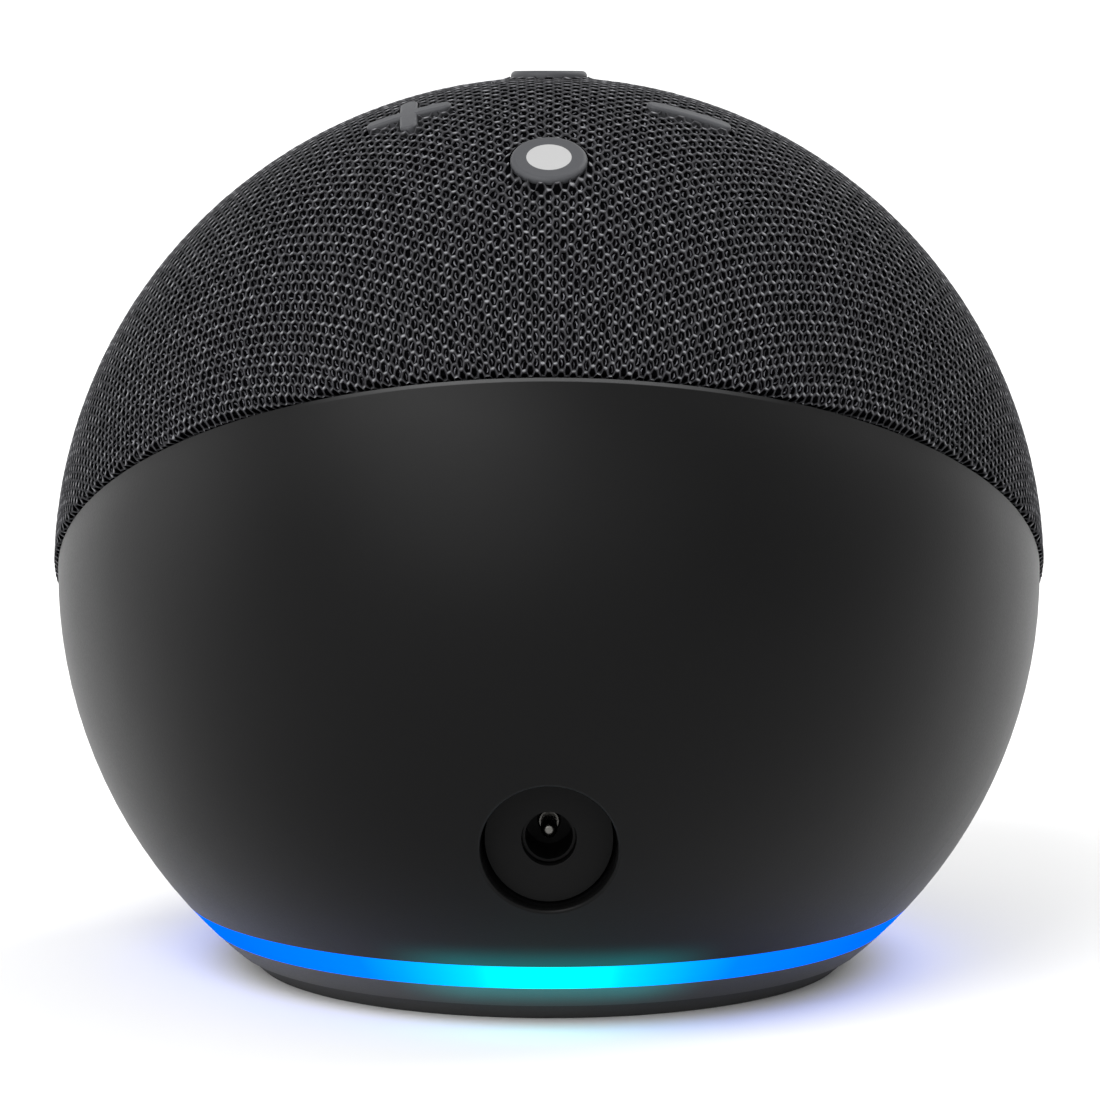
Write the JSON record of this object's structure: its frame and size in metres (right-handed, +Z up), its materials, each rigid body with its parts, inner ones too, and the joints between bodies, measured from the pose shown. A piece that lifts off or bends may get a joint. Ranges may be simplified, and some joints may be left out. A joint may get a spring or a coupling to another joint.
{
  "type": "smart speaker",
  "caption": "Ball-shaped table smart speaker with a knit fabric dome, tilted seam, moulded lower shell, glowing base ring, round rubber foot, raised top buttons and a rear power inlet.",
  "frame": {"origin": "on the table plane, under the ball's centre, in the middle of the rubber foot", "axes": "+Z up; -Y towards the back with the power inlet, the side the picture shows; +Y towards the front, where the driver fires; +X to the right as seen from behind"},
  "size_m": [0.1, 0.0996, 0.0904],
  "materials": {
    "knit_fabric": "open knit of dark polyester yarn",
    "grille_plastic": "moulded, fine texture",
    "housing_plastic": "moulded, fine satin texture",
    "light_diffuser": "translucent diffuser, lit from behind",
    "base_plastic": "moulded, satin",
    "foot_rubber": "matte elastomer",
    "button_plastic": "moulded, satin",
    "dot_plastic": "moulded, satin",
    "screw_steel": "zinc plated",
    "plated_steel": "zinc plated",
    "frame_steel": "black coated pressing",
    "ferrite": "sintered ferrite",
    "copper_wire": "enamelled winding",
    "spider_cloth": "resin dipped cloth",
    "cone_paper": "pressed pulp",
    "seal_rubber": "soft elastomer",
    "thermal_rubber": "silicone pad",
    "sink_aluminium": "extruded, bare",
    "circuit_board": "solder mask over glass fibre",
    "chip_plastic": "moulded package",
    "socket_plastic": "moulded",
    "ribbon_film": "laminated flat cable",
    "wire_jacket": "insulated wire",
    "enclosure_plastic": "moulded",
    "jack_plastic": "moulded",
    "contact_metal": "plated contact",
    "lamp_package": "lamp package"
  },
  "bodies": {
    "body": {"fabric_cover": "knit_fabric", "grille_shell": "grille_plastic", "rear_housing": "housing_plastic", "light_ring": "light_diffuser", "base_plate": "base_plastic", "rubber_foot": "foot_rubber", "base_screws": "screw_steel", "tact_switches": "chip_plastic", "button_board": "circuit_board", "button_board_screws": "screw_steel", "button_board_socket": "socket_plastic", "button_ribbon": "ribbon_film", "microphones": "contact_metal", "mic_boots": "seal_rubber", "speaker_enclosure": "enclosure_plastic", "driver_gasket": "seal_rubber", "driver_basket": "frame_steel", "driver_top_plate": "plated_steel", "driver_magnet": "ferrite", "driver_yoke": "plated_steel", "driver_spider": "spider_cloth", "driver_surround": "seal_rubber", "driver_screws": "screw_steel", "driver_terminal": "circuit_board", "speaker_leads": "wire_jacket", "lead_grommet": "seal_rubber", "lead_connector": "socket_plastic", "main_board": "circuit_board", "main_board_screws": "screw_steel", "processor": "chip_plastic", "memory_chip": "chip_plastic", "shield_can": "plated_steel", "thermal_pad": "thermal_rubber", "heat_sink": "sink_aluminium", "amplifier_chip": "chip_plastic", "power_inductor": "ferrite", "antennas": "contact_metal", "ribbon_sockets": "socket_plastic", "dc_jack_body": "jack_plastic", "dc_jack_pin": "contact_metal", "dc_jack_contact": "contact_metal", "led_board": "circuit_board", "led_board_screws": "screw_steel", "led_board_socket": "socket_plastic", "led_ribbon": "ribbon_film", "ring_leds": "lamp_package"},
    "cone": {"driver_cone": "cone_paper", "dust_cap": "cone_paper", "voice_coil": "copper_wire"},
    "volume_up": {"volume_up_button": "button_plastic", "volume_up_plunger": "chip_plastic"},
    "volume_down": {"volume_down_button": "button_plastic", "volume_down_plunger": "chip_plastic"},
    "action": {"action_button": "button_plastic", "action_plunger": "chip_plastic", "action_dot": "dot_plastic"},
    "mic_mute": {"mic_mute_button": "button_plastic", "mic_mute_plunger": "chip_plastic"}
  },
  "joints": [
    {"name": "volume_up_press", "type": "slide", "parent": "body", "child": "volume_up", "axis": [0, 0.1564, -0.9877], "range_m": [0, 0.0004], "stiffness_N_per_m": 1500},
    {"name": "volume_down_press", "type": "slide", "parent": "body", "child": "volume_down", "axis": [0, 0.1564, -0.9877], "range_m": [0, 0.0004], "stiffness_N_per_m": 1500},
    {"name": "action_press", "type": "slide", "parent": "body", "child": "action", "axis": [0, 0.1564, -0.9877], "range_m": [0, 0.0004], "stiffness_N_per_m": 1500},
    {"name": "mic_mute_press", "type": "slide", "parent": "body", "child": "mic_mute", "axis": [0, 0.1564, -0.9877], "range_m": [0, 0.0004], "stiffness_N_per_m": 1500},
    {"name": "cone_travel", "type": "slide", "parent": "body", "child": "cone", "axis": [0, 1, 0], "range_m": [-0.002, 0.002], "stiffness_N_per_m": 1200, "deforming": ["driver_surround", "driver_spider"]}
  ]
}
